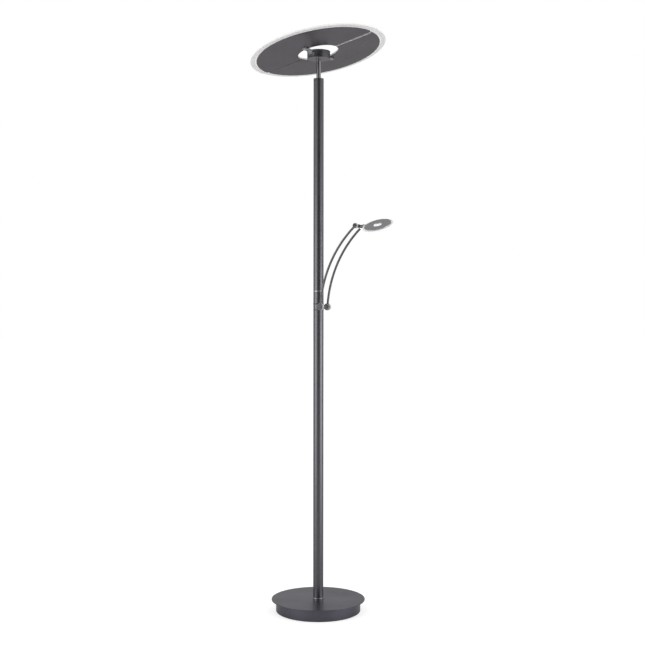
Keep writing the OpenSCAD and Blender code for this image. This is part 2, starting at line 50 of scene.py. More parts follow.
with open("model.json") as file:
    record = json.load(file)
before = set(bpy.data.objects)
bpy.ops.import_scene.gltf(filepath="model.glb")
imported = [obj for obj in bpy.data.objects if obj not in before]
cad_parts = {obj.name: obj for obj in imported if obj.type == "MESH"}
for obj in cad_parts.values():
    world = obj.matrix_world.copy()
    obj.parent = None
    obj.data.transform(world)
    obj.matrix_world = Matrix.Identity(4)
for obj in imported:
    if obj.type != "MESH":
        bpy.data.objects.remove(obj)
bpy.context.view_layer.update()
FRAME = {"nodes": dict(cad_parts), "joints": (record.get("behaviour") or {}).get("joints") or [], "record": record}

MM = 0.001
PAST = 1 * MM                   # how far a cutter reaches past what it cuts
SCREW_STEPS = 40                # faces around a screw
FINE_STEPS = 96                 # faces around or along a small piece that stays in sight
CLOSE = 0.1 * MM                # what is this close to a level or a rim is taken to lie on it
MERGED = 1e-7                   # points closer than this, in metres, are one
BENT = math.radians(40)         # edges bent more than this are rounded
SHARP = math.radians(42)        # edges bent more than this are shaded sharp
UP = Vector((0, 0, 1))
NEAR, FAR = -1, 1
SIDES = {"near": NEAR, "far": FAR}
SLOT_OF = {part["node"]: part["material_slot"] for part in FRAME["record"]["subparts"]}
JOINTS = {joint["name"]: joint for joint in FRAME["joints"]}
PIVOT = Vector(JOINTS["near_uplight_tilt"]["pos_m"])
LOWER_PIVOT = Vector(JOINTS["arm_tilt"]["pos_m"])
UPPER_PIVOT = Vector(JOINTS["reading_head_tilt"]["pos_m"])


def low(node):
    """The lowest corner of a CAD node."""
    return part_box(node)[0]


def high(node):
    """The highest corner of a CAD node."""
    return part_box(node)[1]


def levels(node):
    """The bottom and the top of a CAD node."""
    return low(node).z, high(node).z


def mm(*lengths):
    """Lengths in millimetres, in metres."""
    return [length * MM for length in lengths]


# ---------- Sizes and colours ----------


def metres(name, description, value):
    return FloatProperty(name=name, description=description, default=value, min=0, unit="LENGTH")


def size(name, description, millimetres):
    return metres(name, description, millimetres * MM)


def turn(name, description, degrees):
    return FloatProperty(name=name, description=description, default=math.radians(degrees),
                         subtype="ANGLE")


def amount(name, description, value):
    return FloatProperty(name=name, description=description, default=value, min=0)


def colour(name, description, value):
    return FloatVectorProperty(name=name, description=description, default=value,
                               size=3, min=0, max=1, subtype="COLOR")


class LampSizes(bpy.types.PropertyGroup):
    """Sizes that the frame's boxes don't give"""

    round_steps: IntProperty(name="Round steps", description="Faces around a large turned piece",
                             default=256, min=32)
    small_steps: IntProperty(name="Small round steps", default=64, min=16,
                             description="Faces around a small turned piece")
    disc_edge: size("Disc edge", "Rounding of the uplight's translucent rim", 0.88)
    stud_hole: size("Stud hole", "Radius of the hole for the base's stud", 5.3)
    tube_wall: size("Tube wall", "Wall of the pole's tubes", 1.2)
    drum_wall: size("Drum wall", "Wall of the base's drum", 1.5)
    cord_bore: size("Cord bore", "Radius of the bore in the cord's grommet", 3.7)
    cord_hole: size("Cord hole", "Radius of the hole in the drum for the grommet", 5.0)
    spindle: size("Spindle", "Radius of the spindle that the collar turns on", 13.5)
    running_fit: size("Running fit", "Gap between a turning piece and what it turns on", 0.05)
    rod_bore: size("Rod bore", "Radius of the wire's bore in the bright rod", 2.5)
    rod_foot: size("Rod foot", "Radius of the bright rod inside the pole", 5.0)
    rod_head: size("Rod head", "Radius of the bright rod inside the hub", 4.0)
    hub_wall: size("Hub wall", "Wall and floor of the hub", 2.0)
    pin: size("Pin", "Radius of the uplight's pivot pins", 4.0)
    near_tilt: turn("Near tilt", "Angle of the near half's +X side above level", 12.0)
    far_tilt: turn("Far tilt", "Angle of the far half's +X side above level", 11.5)
    uplight_hole: size("Uplight hole", "Radius of the hole in the uplight", 64.3)
    uplight_plate: size("Uplight plate", "Thickness of the metal half plates", 3.0)
    uplight_disc: size("Uplight disc", "Thickness of the translucent half discs", 4.5)
    slit_corner: size("Slit corner", "Rounding of the half plates at the slit's outer ends", 7.0)
    # Painted light: the acrylic in this band is a lighter, glowing copy of the frosted acrylic
    painted_glow_band: size("Clear band", "Width of the bright band beside the half plates", 4.0)
    uplight_land: size("Uplight land", "Width of the rim that bears on the plate", 6.0)
    uplight_pocket: size("Uplight pocket", "Depth of the room for LEDs in the half discs", 2.5)
    board: size("Board", "Thickness of the uplight's LED boards", 1.2)
    board_margin: size("Board margin", "Distance from a board to its half plate's edges", 8.0)
    yoke_start: size("Yoke start", "Distance from the pole's axis to a yoke arm", 37.5)
    yoke_reach: size("Yoke reach", "How far a yoke arm lies under its half plate", 24.0)
    yoke_knuckle: size("Yoke knuckle", "Radius of the yoke arm's knuckle", 6.5)
    yoke_width: size("Yoke width", "Width of the yoke arm's bar", 14.0)
    yoke_bar: size("Yoke bar", "Thickness of the yoke arm's bar", 4.0)
    arm_arc: size("Arm arc", "Radius of the arc that the arm's rods follow", 350.0)
    rod_stop: size("Rod stop", "Distance from a rod's end to its pivot", 4.2)
    lower_axle: size("Lower axle", "Radius of the bore for the arm's lower axle", 2.55)
    upper_axle: size("Upper axle", "Radius of the bore for the arm's upper axle", 2.05)
    pad_inset: size("Pad inset", "How far a friction pad stays inside its disc's rim", 1.6)
    pad_hole: size("Pad hole", "Radius of the hole in a friction pad", 2.6)
    pad_sunk: size("Pad sunk", "How far a friction pad is let into its disc", 0.4)
    pad_proud: size("Pad proud", "How far a friction pad stands out of its disc", 0.25)
    reading_roll: turn("Reading roll", "Roll of the reading head about its neck", 28.0)
    reading_disc: size("Reading disc", "Radius of the reading head's clear disc", 49.0)
    reading_plate: size("Reading plate", "Radius of the reading head's metal plate", 42.0)
    reading_hole: size("Reading hole", "Radius of the hole in the reading head", 13.5)
    reading_plate_t: size("Reading plate thickness", "Of the reading head's metal plate", 3.0)
    reading_disc_t: size("Reading disc thickness", "Of the reading head's clear disc", 5.0)
    reading_board: size("Reading board", "Thickness of the reading head's LED board", 1.0)
    reading_neck: size("Reading neck", "Radius of the reading head's neck and socket", 4.0)
    reading_spigot: size("Reading spigot", "Radius of the neck's end inside the socket", 2.5)
    reading_drop: size("Reading drop", "Depth of the plate's underside below the neck's axis", 0.5)
    led: size("LED", "Width of an LED chip", 3.0)
    led_height: size("LED height", "Height of an LED chip", 0.8)


class LampFinishes(bpy.types.PropertyGroup):
    """Colours, opacities and painted glow of the lamp's finishes"""

    anthracite: colour("Anthracite", "Coat of the pole and the hub", (0.125, 0.122, 0.134))
    base_coat: colour("Base coat", "Coat of the base", (0.127, 0.120, 0.147))
    uplight_coat: colour("Uplight coat", "Coat of the half plates", (0.124, 0.109, 0.130))
    chrome: colour("Chrome", "Plated rings, discs and neck", (0.78, 0.78, 0.80))
    # Painted highlight: bare aluminium put only on the +X half of the slit's edge, where light catches it
    bare_edge: colour("Bare edge", "Cut aluminium along the slit", (0.62, 0.62, 0.63))
    tube_nickel: colour("Tube nickel", "Polished rod under the hub", (0.30, 0.295, 0.31))
    gunmetal: colour("Gunmetal", "Dark nickel on the arm's rods", (0.12, 0.12, 0.125))
    nickel: colour("Nickel", "Nickel plate on the yoke arms and the foot ring", (0.34, 0.34, 0.35))
    reading_coat: colour("Reading coat", "Coat of the reading head's plate", (0.52, 0.52, 0.545))
    frosted: colour("Frosted", "Translucent acrylic of the discs", (0.955, 0.95, 0.94))
    # Painted light: a lighter copy of the frosted acrylic for the band beside the plates
    frosted_band: colour("Frosted band", "The acrylic beside the half plates", (0.975, 0.972, 0.96))
    # Painted shade: a darker copy of the frosted acrylic under the rim
    frosted_rim: colour("Frosted rim", "The underside of the acrylic's rim", (0.80, 0.798, 0.795))
    disc_face: colour("Disc face", "Coat in the dish of the pivot discs", (0.07, 0.07, 0.074))
    frosted_alpha: amount("Frosted opacity", "Opacity of each face of the acrylic", 0.85)
    edge_alpha: amount("Edge opacity", "Opacity of each face of the acrylic past the plates", 0.75)
    # Painted glow: an emission standing in for room light that comes through beside the plates
    band_painted_glow: amount("Band glow", "Room light that comes through beside the plates", 0.24)
    # Painted glow: a faint emission on the rim, standing in for room light that comes through
    rim_painted_glow: amount("Rim glow", "Room light that comes through the rim", 0.04)
    zinc: colour("Zinc", "Plated fasteners", (0.56, 0.57, 0.58))
    white_mask: colour("White mask", "Solder mask of the LED boards", (0.84, 0.84, 0.81))
    phosphor: colour("Phosphor", "Face of an LED chip", (0.86, 0.62, 0.14))
    felt: colour("Felt", "Felt under the base", (0.018, 0.018, 0.020))
    iron: colour("Iron", "Cast skin of the ballast", (0.10, 0.10, 0.10))
    primer: colour("Primer", "Primer in the hollows of the cast skin", (0.035, 0.035, 0.037))
    rubber: colour("Rubber", "Cord grommet", (0.026, 0.026, 0.027))
    rubber_pores: colour("Rubber pores", "Pores of the cord grommet", (0.012, 0.012, 0.013))
    driver_case: colour("Driver case", "Plastic of the LED driver", (0.80, 0.80, 0.76))
    polyamide: colour("Polyamide", "Plastic of the terminal block", (0.78, 0.77, 0.70))
    nylon: colour("Nylon", "Friction pads and washers", (0.70, 0.69, 0.64))
    wire_sheath: colour("Wire sheath", "Sheath of the wire in the pole", (0.74, 0.74, 0.72))


class StudioSettings(bpy.types.PropertyGroup):
    """Camera, floor and light"""

    azimuth: turn("Azimuth", "Where the camera stands around the lamp", 32.0)
    distance: metres("Distance", "From the pole to the camera", 3.465)
    height: metres("Height", "Of the camera above the floor", 0.932)
    drop: FloatProperty(name="Drop", description="Vertical shift of the lens, in parts of the view",
                        default=-0.0143)
    aim_off: turn("Aim off", "How far the camera turns right of the pole", 0.236)
    roll: turn("Roll", "How far the camera leans to its left", 0.05)
    lens: FloatProperty(name="Lens", description="Focal length in millimetres", default=61.55)
    dark_off: turn("Dark off", "How far right of the camera the dark part of the room lies", 7)
    floor_glow: amount("Floor glow", "Light that the floor adds where the camera sees it", 0.6)
    floor_size: metres("Floor size", "Width of the floor", 60.0)
    light_aim: metres("Light aim", "Height that the softboxes face", 0.95)


def sizes():
    return bpy.context.scene.lamp_sizes


def finishes():
    return bpy.context.scene.lamp_finishes


def studio():
    return bpy.context.scene.lamp_studio


# ---------- Shaping ----------


def turned(outline, steps, closed=True):
    """A solid of revolution about Z. The outline is (radius, height) points."""
    bm = bmesh.new()
    verts = [bm.verts.new((radius, 0, height)) for radius, height in outline]
    edges = [bm.edges.new(pair) for pair in zip(verts, verts[1:])]
    if closed:
        edges.append(bm.edges.new((verts[-1], verts[0])))
    bmesh.ops.spin(bm, geom=verts + edges, cent=(0, 0, 0), axis=UP, dvec=(0, 0, 0),
                   angle=math.tau, steps=steps, use_merge=True)
    bmesh.ops.remove_doubles(bm, verts=bm.verts, dist=MERGED)
    bmesh.ops.recalc_face_normals(bm, faces=bm.faces)
    return bm


def ring(outer, inner, bottom, top, steps=None):
    """A plain ring about Z."""
    outline = [(inner, bottom), (outer, bottom), (outer, top), (inner, top)]
    return turned(outline, steps or sizes().small_steps)


def node_ring(node, inner, steps):
    """A ring about Z, as wide and tall as its CAD node."""
    return ring(high(node).x, inner, *levels(node), steps)


def disc(radius, bottom, top, steps=None):
    """A plain disc about Z."""
    outline = [(0, bottom), (radius, bottom), (radius, top), (0, top)]
    return turned(outline, steps or sizes().small_steps, closed=False)


def block(lowest, highest):
    """A box between two corners."""
    lowest, highest = Vector(lowest), Vector(highest)
    bm = bmesh.new()
    bmesh.ops.create_cube(bm, size=1)
    bmesh.ops.scale(bm, verts=bm.verts, vec=highest - lowest)
    bmesh.ops.translate(bm, verts=bm.verts, vec=(lowest + highest) / 2)
    return bm


def moved(bm, x=0, y=0, z=0):
    bmesh.ops.translate(bm, verts=bm.verts, vec=(x, y, z))
    return bm


def rotated(bm, angle, axis, centre=(0, 0, 0)):
    bmesh.ops.rotate(bm, verts=bm.verts, cent=centre, matrix=Matrix.Rotation(angle, 3, axis))
    return bm


def along_y(bm, x=0, z=0, side=FAR):
    """Lays a piece that was turned about Z along Y, growing away from the XZ plane on that side."""
    rotated(bm, -side * math.pi / 2, "X")
    return moved(bm, x=x, z=z)


def along_x(bm, x=0, z=0):
    """Lays a piece that was turned about Z along X."""
    rotated(bm, math.pi / 2, "Y")
    return moved(bm, x=x, z=z)


def merged(target, *others):
    """Adds the other shapes to the first one."""
    for other in others:
        mesh = bpy.data.meshes.new("merging")
        other.to_mesh(mesh)
        other.free()
        target.from_mesh(mesh)
        bpy.data.meshes.remove(mesh)
    return target


def clipped(bm, point, normal):
    """Cuts off what lies on the normal's side of a plane, and caps the cut."""
    everything = bm.verts[:] + bm.edges[:] + bm.faces[:]
    bmesh.ops.bisect_plane(bm, geom=everything, plane_co=point, plane_no=normal, clear_outer=True)
    rim = [edge for edge in bm.edges if edge.is_boundary]
    bmesh.ops.holes_fill(bm, edges=rim, sides=0)
    return bm


def carved(bm, *cutters):
    """Takes the cutters' shapes out of the first one."""
    for cutter in cutters:
        meshes = []
        objects = []
        for shape in (bm, cutter):
            mesh = bpy.data.meshes.new("carving")
            shape.to_mesh(mesh)
            meshes.append(mesh)
            objects.append(bpy.data.objects.new("carving", mesh))
            bpy.context.scene.collection.objects.link(objects[-1])
        cutter.free()
        modifier = objects[0].modifiers.new("carve", "BOOLEAN")
        modifier.operation = "DIFFERENCE"
        modifier.solver = "EXACT"
        modifier.object = objects[1]
        evaluated = objects[0].evaluated_get(bpy.context.evaluated_depsgraph_get())
        meshes.append(bpy.data.meshes.new_from_object(evaluated))
        bm.clear()
        bm.from_mesh(meshes[-1])
        for leftover in objects:
            bpy.data.objects.remove(leftover)
        for mesh in meshes:
            bpy.data.meshes.remove(mesh)
    return bm


def bevelled(bm, edges, width, segments):
    bmesh.ops.bevel(bm, geom=edges, offset=width, offset_type="OFFSET", affect="EDGES",
                    segments=segments, profile=0.5, material=-1, clamp_overlap=True)
    return bm


def softened(bm, round_mm, segments=3):
    """Rounds every clearly bent edge, by a radius in millimetres."""
    edges = [edge for edge in bm.edges
             if len(edge.link_faces) == 2 and edge.calc_face_angle() > BENT]
    return bevelled(bm, edges, round_mm * MM, segments)


def tilted(bm, side):
    """Turns a level shape to the rest tilt of that half of the uplight."""
    return rotated(bm, -(sizes().near_tilt if side == NEAR else sizes().far_tilt), "Y", PIVOT)


def rolled(bm):
    """Turns a level shape to the reading head's rest roll about its neck."""
    return rotated(bm, sizes().reading_roll, "X", UPPER_PIVOT)


def piece(bm, name, body, slot, replaces=(), coats=()):
    """Makes a finished piece of a shape, parents it to what it rides on, and hides the CAD nodes it stands for.

    It has its slot's finish unless coats are named, one for each material index of its faces.
    """
    mesh = bpy.data.meshes.new(name)
    bm.to_mesh(mesh)
    bm.free()
    mesh.shade_smooth()
    mesh.set_sharp_from_angle(angle=SHARP)
    for coat in coats or (slot,):
        mesh.materials.append(finish(coat))
    obj = bpy.data.objects.new(name, mesh)
    bpy.context.scene.collection.objects.link(obj)
    weighted = obj.modifiers.new("weighted_normals", "WEIGHTED_NORMAL")
    weighted.keep_sharp = True
    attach(obj, body)
    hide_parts(*replaces)
    return obj


# ---------- Finishes ----------


class Shader:
    """A material's nodes, on Object coordinates."""

    def __init__(self, name):
        self.material = bpy.data.materials.new(name)
        self.material.use_nodes = True
        self.nodes = self.material.node_tree.nodes
        self.links = self.material.node_tree.links
        self.surface = self.nodes["Principled BSDF"]
        self.place = self.nodes.new("ShaderNodeTexCoord").outputs["Object"]

    def set(self, values):
        """Sets sockets that are the same all over."""
        for name, value in values.items():
            socket = self.surface.inputs[name]
            socket.default_value = (*value, 1) if socket.type == "RGBA" else value

    def drive(self, socket, value):
        self.links.new(value, self.surface.inputs[socket])

    def texture(self, kind, output, place=None, **sockets):
        node = self.nodes.new(f"ShaderNodeTex{kind}")
        for name, value in sockets.items():
            node.inputs[name].default_value = value
        self.links.new(place or self.place, node.inputs["Vector"])
        return node.outputs[output]

    def noise(self, per_metre=1, detail=3, roughness=0.55, stretch=None):
        """Noise, on coordinates that are first scaled along each axis by the stretch."""
        place = self.place
        if stretch:
            mapping = self.nodes.new("ShaderNodeMapping")
            mapping.inputs["Scale"].default_value = stretch
            self.links.new(self.place, mapping.inputs["Vector"])
            place = mapping.outputs["Vector"]
        return self.texture("Noise", "Fac", place, Scale=per_metre, Detail=detail,
                            Roughness=roughness)

    def ramp(self, value, lowest, highest, start=0.3, end=0.7):
        """Maps start to end, where most of a noise lies, to lowest and highest."""
        node = self.nodes.new("ShaderNodeMapRange")
        for socket, number in zip(("From Min", "From Max", "To Min", "To Max"),
                                  (start, end, lowest, highest)):
            node.inputs[socket].default_value = number
        self.links.new(value, node.inputs["Value"])
        return node.outputs["Result"]

    def blend(self, factor, first, second):
        """Mixes two colours by a factor."""
        node = self.nodes.new("ShaderNodeMix")
        node.data_type = "RGBA"
        node.inputs["A"].default_value = (*first, 1)
        node.inputs["B"].default_value = (*second, 1)
        self.links.new(factor, node.inputs["Factor"])
        return next(output for output in node.outputs if output.type == "RGBA")

    def bump(self, height, depth, strength=1.0):
        """Bump of a depth in millimetres."""
        node = self.nodes.new("ShaderNodeBump")
        node.inputs["Distance"].default_value = depth * MM
        node.inputs["Strength"].default_value = strength
        self.links.new(height, node.inputs["Height"])
        self.drive("Normal", node.outputs["Normal"])


def shades(base, darkest, lightest):
    """A colour made darker and lighter, by a factor each."""
    return [tuple(min(1.0, channel * factor) for channel in base) for factor in (darkest, lightest)]


def grained(name, colours, noise, bump, roughness=None, fixed=()):
    """A finish whose colour, roughness and bump follow one noise.

    The bump is a depth in millimetres and a strength, and fixed sockets are the same all over.
    """
    shader = Shader(name)
    grains = shader.noise(**noise)
    shader.drive("Base Color", shader.blend(grains, *colours))
    if roughness:
        shader.drive("Roughness", shader.ramp(grains, *roughness))
    shader.bump(grains, *bump)
    shader.set(dict(fixed))
    return shader.material


METAL = {"Metallic": 1.0}


def metallic_coat(name, base, contrast=0.22, roughness=(0.26, 0.36)):
    """Metallic powder coat: flakes, a light orange peel and a thin clear skin."""
    shader = Shader(name)
    flakes = shader.ramp(shader.noise(2600, detail=1), 0, 1, 0.35, 0.65)
    shader.drive("Base Color", shader.blend(flakes, *shades(base, 1 - contrast, 1 + contrast)))
    wear = shader.noise(9, detail=5)
    shader.drive("Roughness", shader.ramp(wear, *roughness))
    shader.bump(shader.noise(700, detail=2), 0.02, 0.5)
    shader.set({"Metallic": 0.88, "Coat Weight": 0.05, "Coat Roughness": 0.25})
    return shader.material


def polished(name, base):
    """Polished plate with faint smudges."""
    shader = Shader(name)
    smudges = shader.noise(45, detail=6, roughness=0.6)
    shader.drive("Roughness", shader.ramp(smudges, 0.05, 0.16, 0.35, 0.75))
    shader.drive("Base Color", shader.blend(smudges, *shades(base, 0.96, 1.03)))
    shader.bump(shader.noise(160, detail=2), 0.004, 0.4)
    shader.set(METAL)
    return shader.material


def blasted(name, base):
    """Bead-blasted plate, dull enough to gather light from the whole room."""
    return grained(name, shades(base, 0.95, 1.03), {"per_metre": 1400}, (0.003, 0.4),
                   (0.3, 0.38), METAL)


def drawn(name, base):
    """Satin plate with fine drawing lines along the arm's rods."""
    return grained(name, shades(base, 0.85, 1.15), {"stretch": (900, 2600, 240), "detail": 4},
                   (0.004, 0.4), (0.22, 0.32), METAL)


def frosted_acrylic(name, base, alpha, glow=None):
    """Frosted acrylic: cloudy inside, satin outside. The glow is painted light, an emission that stands in for
    room light coming through.

    alpha and glow name the finishes' amounts.
    """
    look = finishes()
    shader = Shader(name)
    haze = shader.noise(22, detail=4)
    shader.drive("Base Color", shader.blend(haze, *shades(base, 0.98, 1)))
    shader.drive("Roughness", shader.ramp(haze, 0.42, 0.52))
    shader.bump(shader.noise(260, detail=2), 0.003, 0.3)
    shader.set({"Alpha": getattr(look, alpha), "IOR": 1.49, "Specular IOR Level": 0.35,
                "Emission Color": base, "Emission Strength": getattr(look, glow) if glow else 0})
    return shader.material


def crystalline(name, base):
    """Zinc plate: small crystals and a fine bump."""
    shader = Shader(name)
    crystals = shader.texture("Voronoi", "Distance", Scale=420)
    shader.drive("Base Color", shader.blend(crystals, *shades(base, 0.86, 1.12)))
    shader.drive("Roughness", shader.ramp(shader.noise(120), 0.24, 0.42))
    shader.bump(shader.noise(900, detail=2), 0.01, 0.5)
    shader.set(METAL)
    return shader.material


def rolled_sheet(name, base):
    """Rolled sheet: lines along X under the zinc."""
    return grained(name, shades(base, 0.85, 1.1), {"stretch": (30, 1500, 1500)},
                   (0.008, 0.5), (0.3, 0.45), METAL)


def sand_cast(name, base):
    """Sand-cast skin with dark primer in its hollows."""
    skin = {"per_metre": 650, "detail": 6, "roughness": 0.65}
    return grained(name, (finishes().primer, base), skin, (0.18, 0.8), (0.55, 0.8),
                   {"Metallic": 0.35})


def needle_felt(name, base):
    """Needle felt: short fibres in every direction."""
    fibres = {"stretch": (900, 2400, 1800), "detail": 5, "roughness": 0.7}
    return grained(name, shades(base, 0.6, 2.0), fibres, (0.25, 0.9),
                   fixed={"Roughness": 0.95, "Sheen Weight": 0.35, "Sheen Roughness": 0.5})


def rubber(name, base):
    """Rubber with fine dark pores."""
    return grained(name, (finishes().rubber_pores, base), {"per_metre": 800}, (0.02, 0.6),
                   (0.55, 0.72))


def moulded(name, base, roughness=(0.38, 0.52)):
    """Spark-eroded moulded plastic."""
    return grained(name, shades(base, 0.94, 1.03), {"per_metre": 1100}, (0.02, 0.6), roughness,
                   {"Subsurface Weight": 0.05, "Subsurface Scale": 0.002})


def solder_mask(name, base):
    """White solder mask over copper: faint tracks around the board."""
    shader = Shader(name)
    tracks = shader.ramp(shader.texture("Wave", "Fac", Scale=18), 0, 1, 0.86, 0.92)
    shader.drive("Base Color", shader.blend(tracks, base, shades(base, 0.93, 1)[0]))
    shader.drive("Roughness", shader.ramp(shader.noise(300), 0.32, 0.46))
    shader.bump(tracks, 0.03, 0.7)
    return shader.material


def phosphor_gel(name, base):
    """Phosphor in clear silicone."""
    return grained(name, shades(base, 0.88, 1.08), {"per_metre": 4200, "detail": 2}, (0.01, 0.5),
                   fixed={"Roughness": 0.28, "Coat Weight": 0.6, "Coat Roughness": 0.08})


# Each slot or coat: its maker, its material's name, its colour, and what it sets of its own
FINISHES = {
    "anthracite": (metallic_coat, "anthracite_coat", "anthracite"),
    "base_coat": (metallic_coat, "base_coat", "base_coat"),
    "uplight_coat": (metallic_coat, "uplight_coat", "uplight_coat"),
    "disc_face": (metallic_coat, "disc_face_coat", "disc_face", {"roughness": (0.3, 0.4)}),
    "reading_metal": (metallic_coat, "reading_coat", "reading_coat", {"contrast": 0.12}),
    "chrome": (polished, "chrome_plate", "chrome"),
    "polished_nickel": (polished, "polished_nickel", "tube_nickel"),
    # Painted highlight: lighter bare aluminium on the slit's +X edge
    "bare_edge": (blasted, "bare_aluminium_edge", "bare_edge"),
    "nickel_plate": (blasted, "nickel_plate", "nickel"),
    "rod_finish": (drawn, "gunmetal_plate", "gunmetal"),
    "diffuser": (frosted_acrylic, "frosted_acrylic", "frosted", {"alpha": "frosted_alpha"}),
    # Copies of the frosted acrylic: painted light beside the plates, painted shade under the rim
    "diffuser_painted_light": (frosted_acrylic, "frosted_acrylic_band", "frosted_band",
                      {"alpha": "edge_alpha", "glow": "band_painted_glow"}),
    "diffuser_rim_painted_shade": (frosted_acrylic, "frosted_acrylic_rim", "frosted_rim",
                     {"alpha": "edge_alpha", "glow": "rim_painted_glow"}),
    "zinc_steel": (crystalline, "zinc_plate", "zinc"),
    "zinc_sheet": (rolled_sheet, "zinc_sheet", "zinc"),
    "cast_iron": (sand_cast, "cast_iron", "iron"),
    "felt": (needle_felt, "needle_felt", "felt"),
    "black_rubber": (rubber, "black_rubber", "rubber"),
    "driver_case": (moulded, "driver_case", "driver_case"),
    "terminal_plastic": (moulded, "natural_polyamide", "polyamide"),
    "washer_plastic": (moulded, "washer_nylon", "nylon", {"roughness": (0.3, 0.4)}),
    "wire_sheath": (moulded, "wire_sheath", "wire_sheath", {"roughness": (0.42, 0.5)}),
    "led_board": (solder_mask, "led_board_mask", "white_mask"),
    "led_chip": (phosphor_gel, "led_phosphor", "phosphor"),
}
MADE = {}


def finish(slot):
    """The material of a slot or coat, made when it is first asked for."""
    if slot not in MADE:
        maker, name, base, *own = FINISHES[slot]
        MADE[slot] = maker(name, tuple(getattr(finishes(), base)), **(own[0] if own else {}))
    return MADE[slot]


# ---------- Fasteners ----------


def cross_recessed(bm, width, depth, floor_z):
    """Cuts a cross-shaped recess about Z, with its floor at a height, into a screw's head."""
    long, short = width / 2, width / 9
    for x, y in ((long, short), (short, long)):
        carved(bm, block((-x, -y, floor_z), (x, y, floor_z + depth)))
    return bm


def pan_screw(head_r, head_h, shank_r, length):
    """A pan-head screw about Z with its head's top at 0 and its shank below."""
    crown = head_h * 0.45
    outline = [(0, -length), (shank_r * 0.7, -length), (shank_r, -length + shank_r * 0.5),
               (shank_r, -head_h), (head_r, -head_h), (head_r, -crown),
               (head_r * 0.82, -crown * 0.28), (head_r * 0.5, 0), (0, 0)]
    bm = turned(outline, SCREW_STEPS, closed=False)
    return cross_recessed(bm, head_r * 1.05, head_h, -head_h * 0.6)


def countersunk_head():
    """A countersunk screw's head about Z, a little below 0, where its sheet's face is."""
    depth, tip_r, head_r, edge, crown = mm(1.6, 1.4, 2.7, 0.2, 0.15)
    head = turned([(0, -depth), (tip_r, -depth), (head_r, -edge), (0, -crown)],
                  SCREW_STEPS, closed=False)
    return cross_recessed(head, *mm(2.6, 2, -0.9))


def countersink():
    """The cutter for a countersunk head."""
    depth, tip_r, mouth_r, rise = mm(1.5, 1.5, 3.0, 0.1)
    return turned([(0, -depth), (tip_r, -depth), (mouth_r, rise), (mouth_r, PAST), (0, PAST)],
                  SCREW_STEPS, closed=False)


# ---------- Base ----------


def make_base():
    s = sizes()
    plate = node_ring("base_plate", s.stud_hole, s.round_steps)
    piece(softened(plate, 0.8, 4), "base_top_plate", "stand", "anthracite", ["base_plate"],
          ["base_coat"])

    drum_r = high("base_drum").x
    bottom, top = levels("base_drum")
    inner, ceiling = drum_r - s.drum_wall, top - s.drum_wall
    lip_in, lip_up = mm(0.9, 1.2)
    outline = [(s.stud_hole, ceiling), (inner, ceiling), (inner, bottom), (drum_r - lip_in, bottom),
               (drum_r, bottom + lip_up), (drum_r, top), (s.stud_hole, top)]
    inlet_z = sum(levels("cord_grommet")) / 2
    hole = along_y(disc(s.cord_hole, inner - PAST, drum_r + PAST), z=inlet_z)
    drum = carved(turned(outline, s.round_steps), hole)
    piece(softened(drum, 0.3, 2), "base_drum_shell", "stand", "anthracite", ["base_drum"],
          ["base_coat"])

    felt_top = high("base_felt").z
    bottom, top = levels("cover_screws")
    head_r, head_h, shank_r, felt_room = mm(4.0, 1.5, 2.0, 1.0)
    screw_x, screw_y = high("cover_screws").x - head_r, high("cover_screws").y - head_r
    pads = disc(high("base_felt").x, 0, felt_top, s.round_steps)
    screws = bmesh.new()
    for x, y in ((screw_x, screw_y), (-screw_x, screw_y), (0, low("cover_screws").y + head_r)):
        carved(pads, moved(disc(head_r + felt_room, -PAST, felt_top + PAST), x, y))
        screw = rotated(pan_screw(head_r, head_h, shank_r, top - bottom), math.pi, "X")
        merged(screws, moved(screw, x, y, bottom))
    piece(softened(pads, 0.35, 2), "base_felt_pad", "stand", "felt", ["base_felt"])
    piece(screws, "base_cover_screws", "stand", "zinc_steel", ["cover_screws"])

    inside, lip = low("cord_grommet").y, high("cord_grommet").y
    bore, body, flange = s.cord_bore, s.cord_hole, high("cord_grommet").z - inlet_z
    nose_in, nose_up, mouth_in, mouth = mm(0.4, 0.8, 0.9, 0.5)
    brow_in, brow, brow_up = mm(0.7, 1.1, 0.35)
    outline = [(bore, inside), (body - nose_in, inside), (body, inside + nose_up), (body, drum_r),
               (flange, drum_r), (flange, lip - brow), (flange - brow_in, lip - brow_up),
               (bore + mouth_in, lip), (bore, lip - mouth)]
    grommet = along_y(turned(outline, s.small_steps), z=inlet_z)
    piece(softened(grommet, 0.2, 2), "cord_inlet_grommet", "stand", "black_rubber",
          ["cord_grommet"])


# ---------- Pole ----------


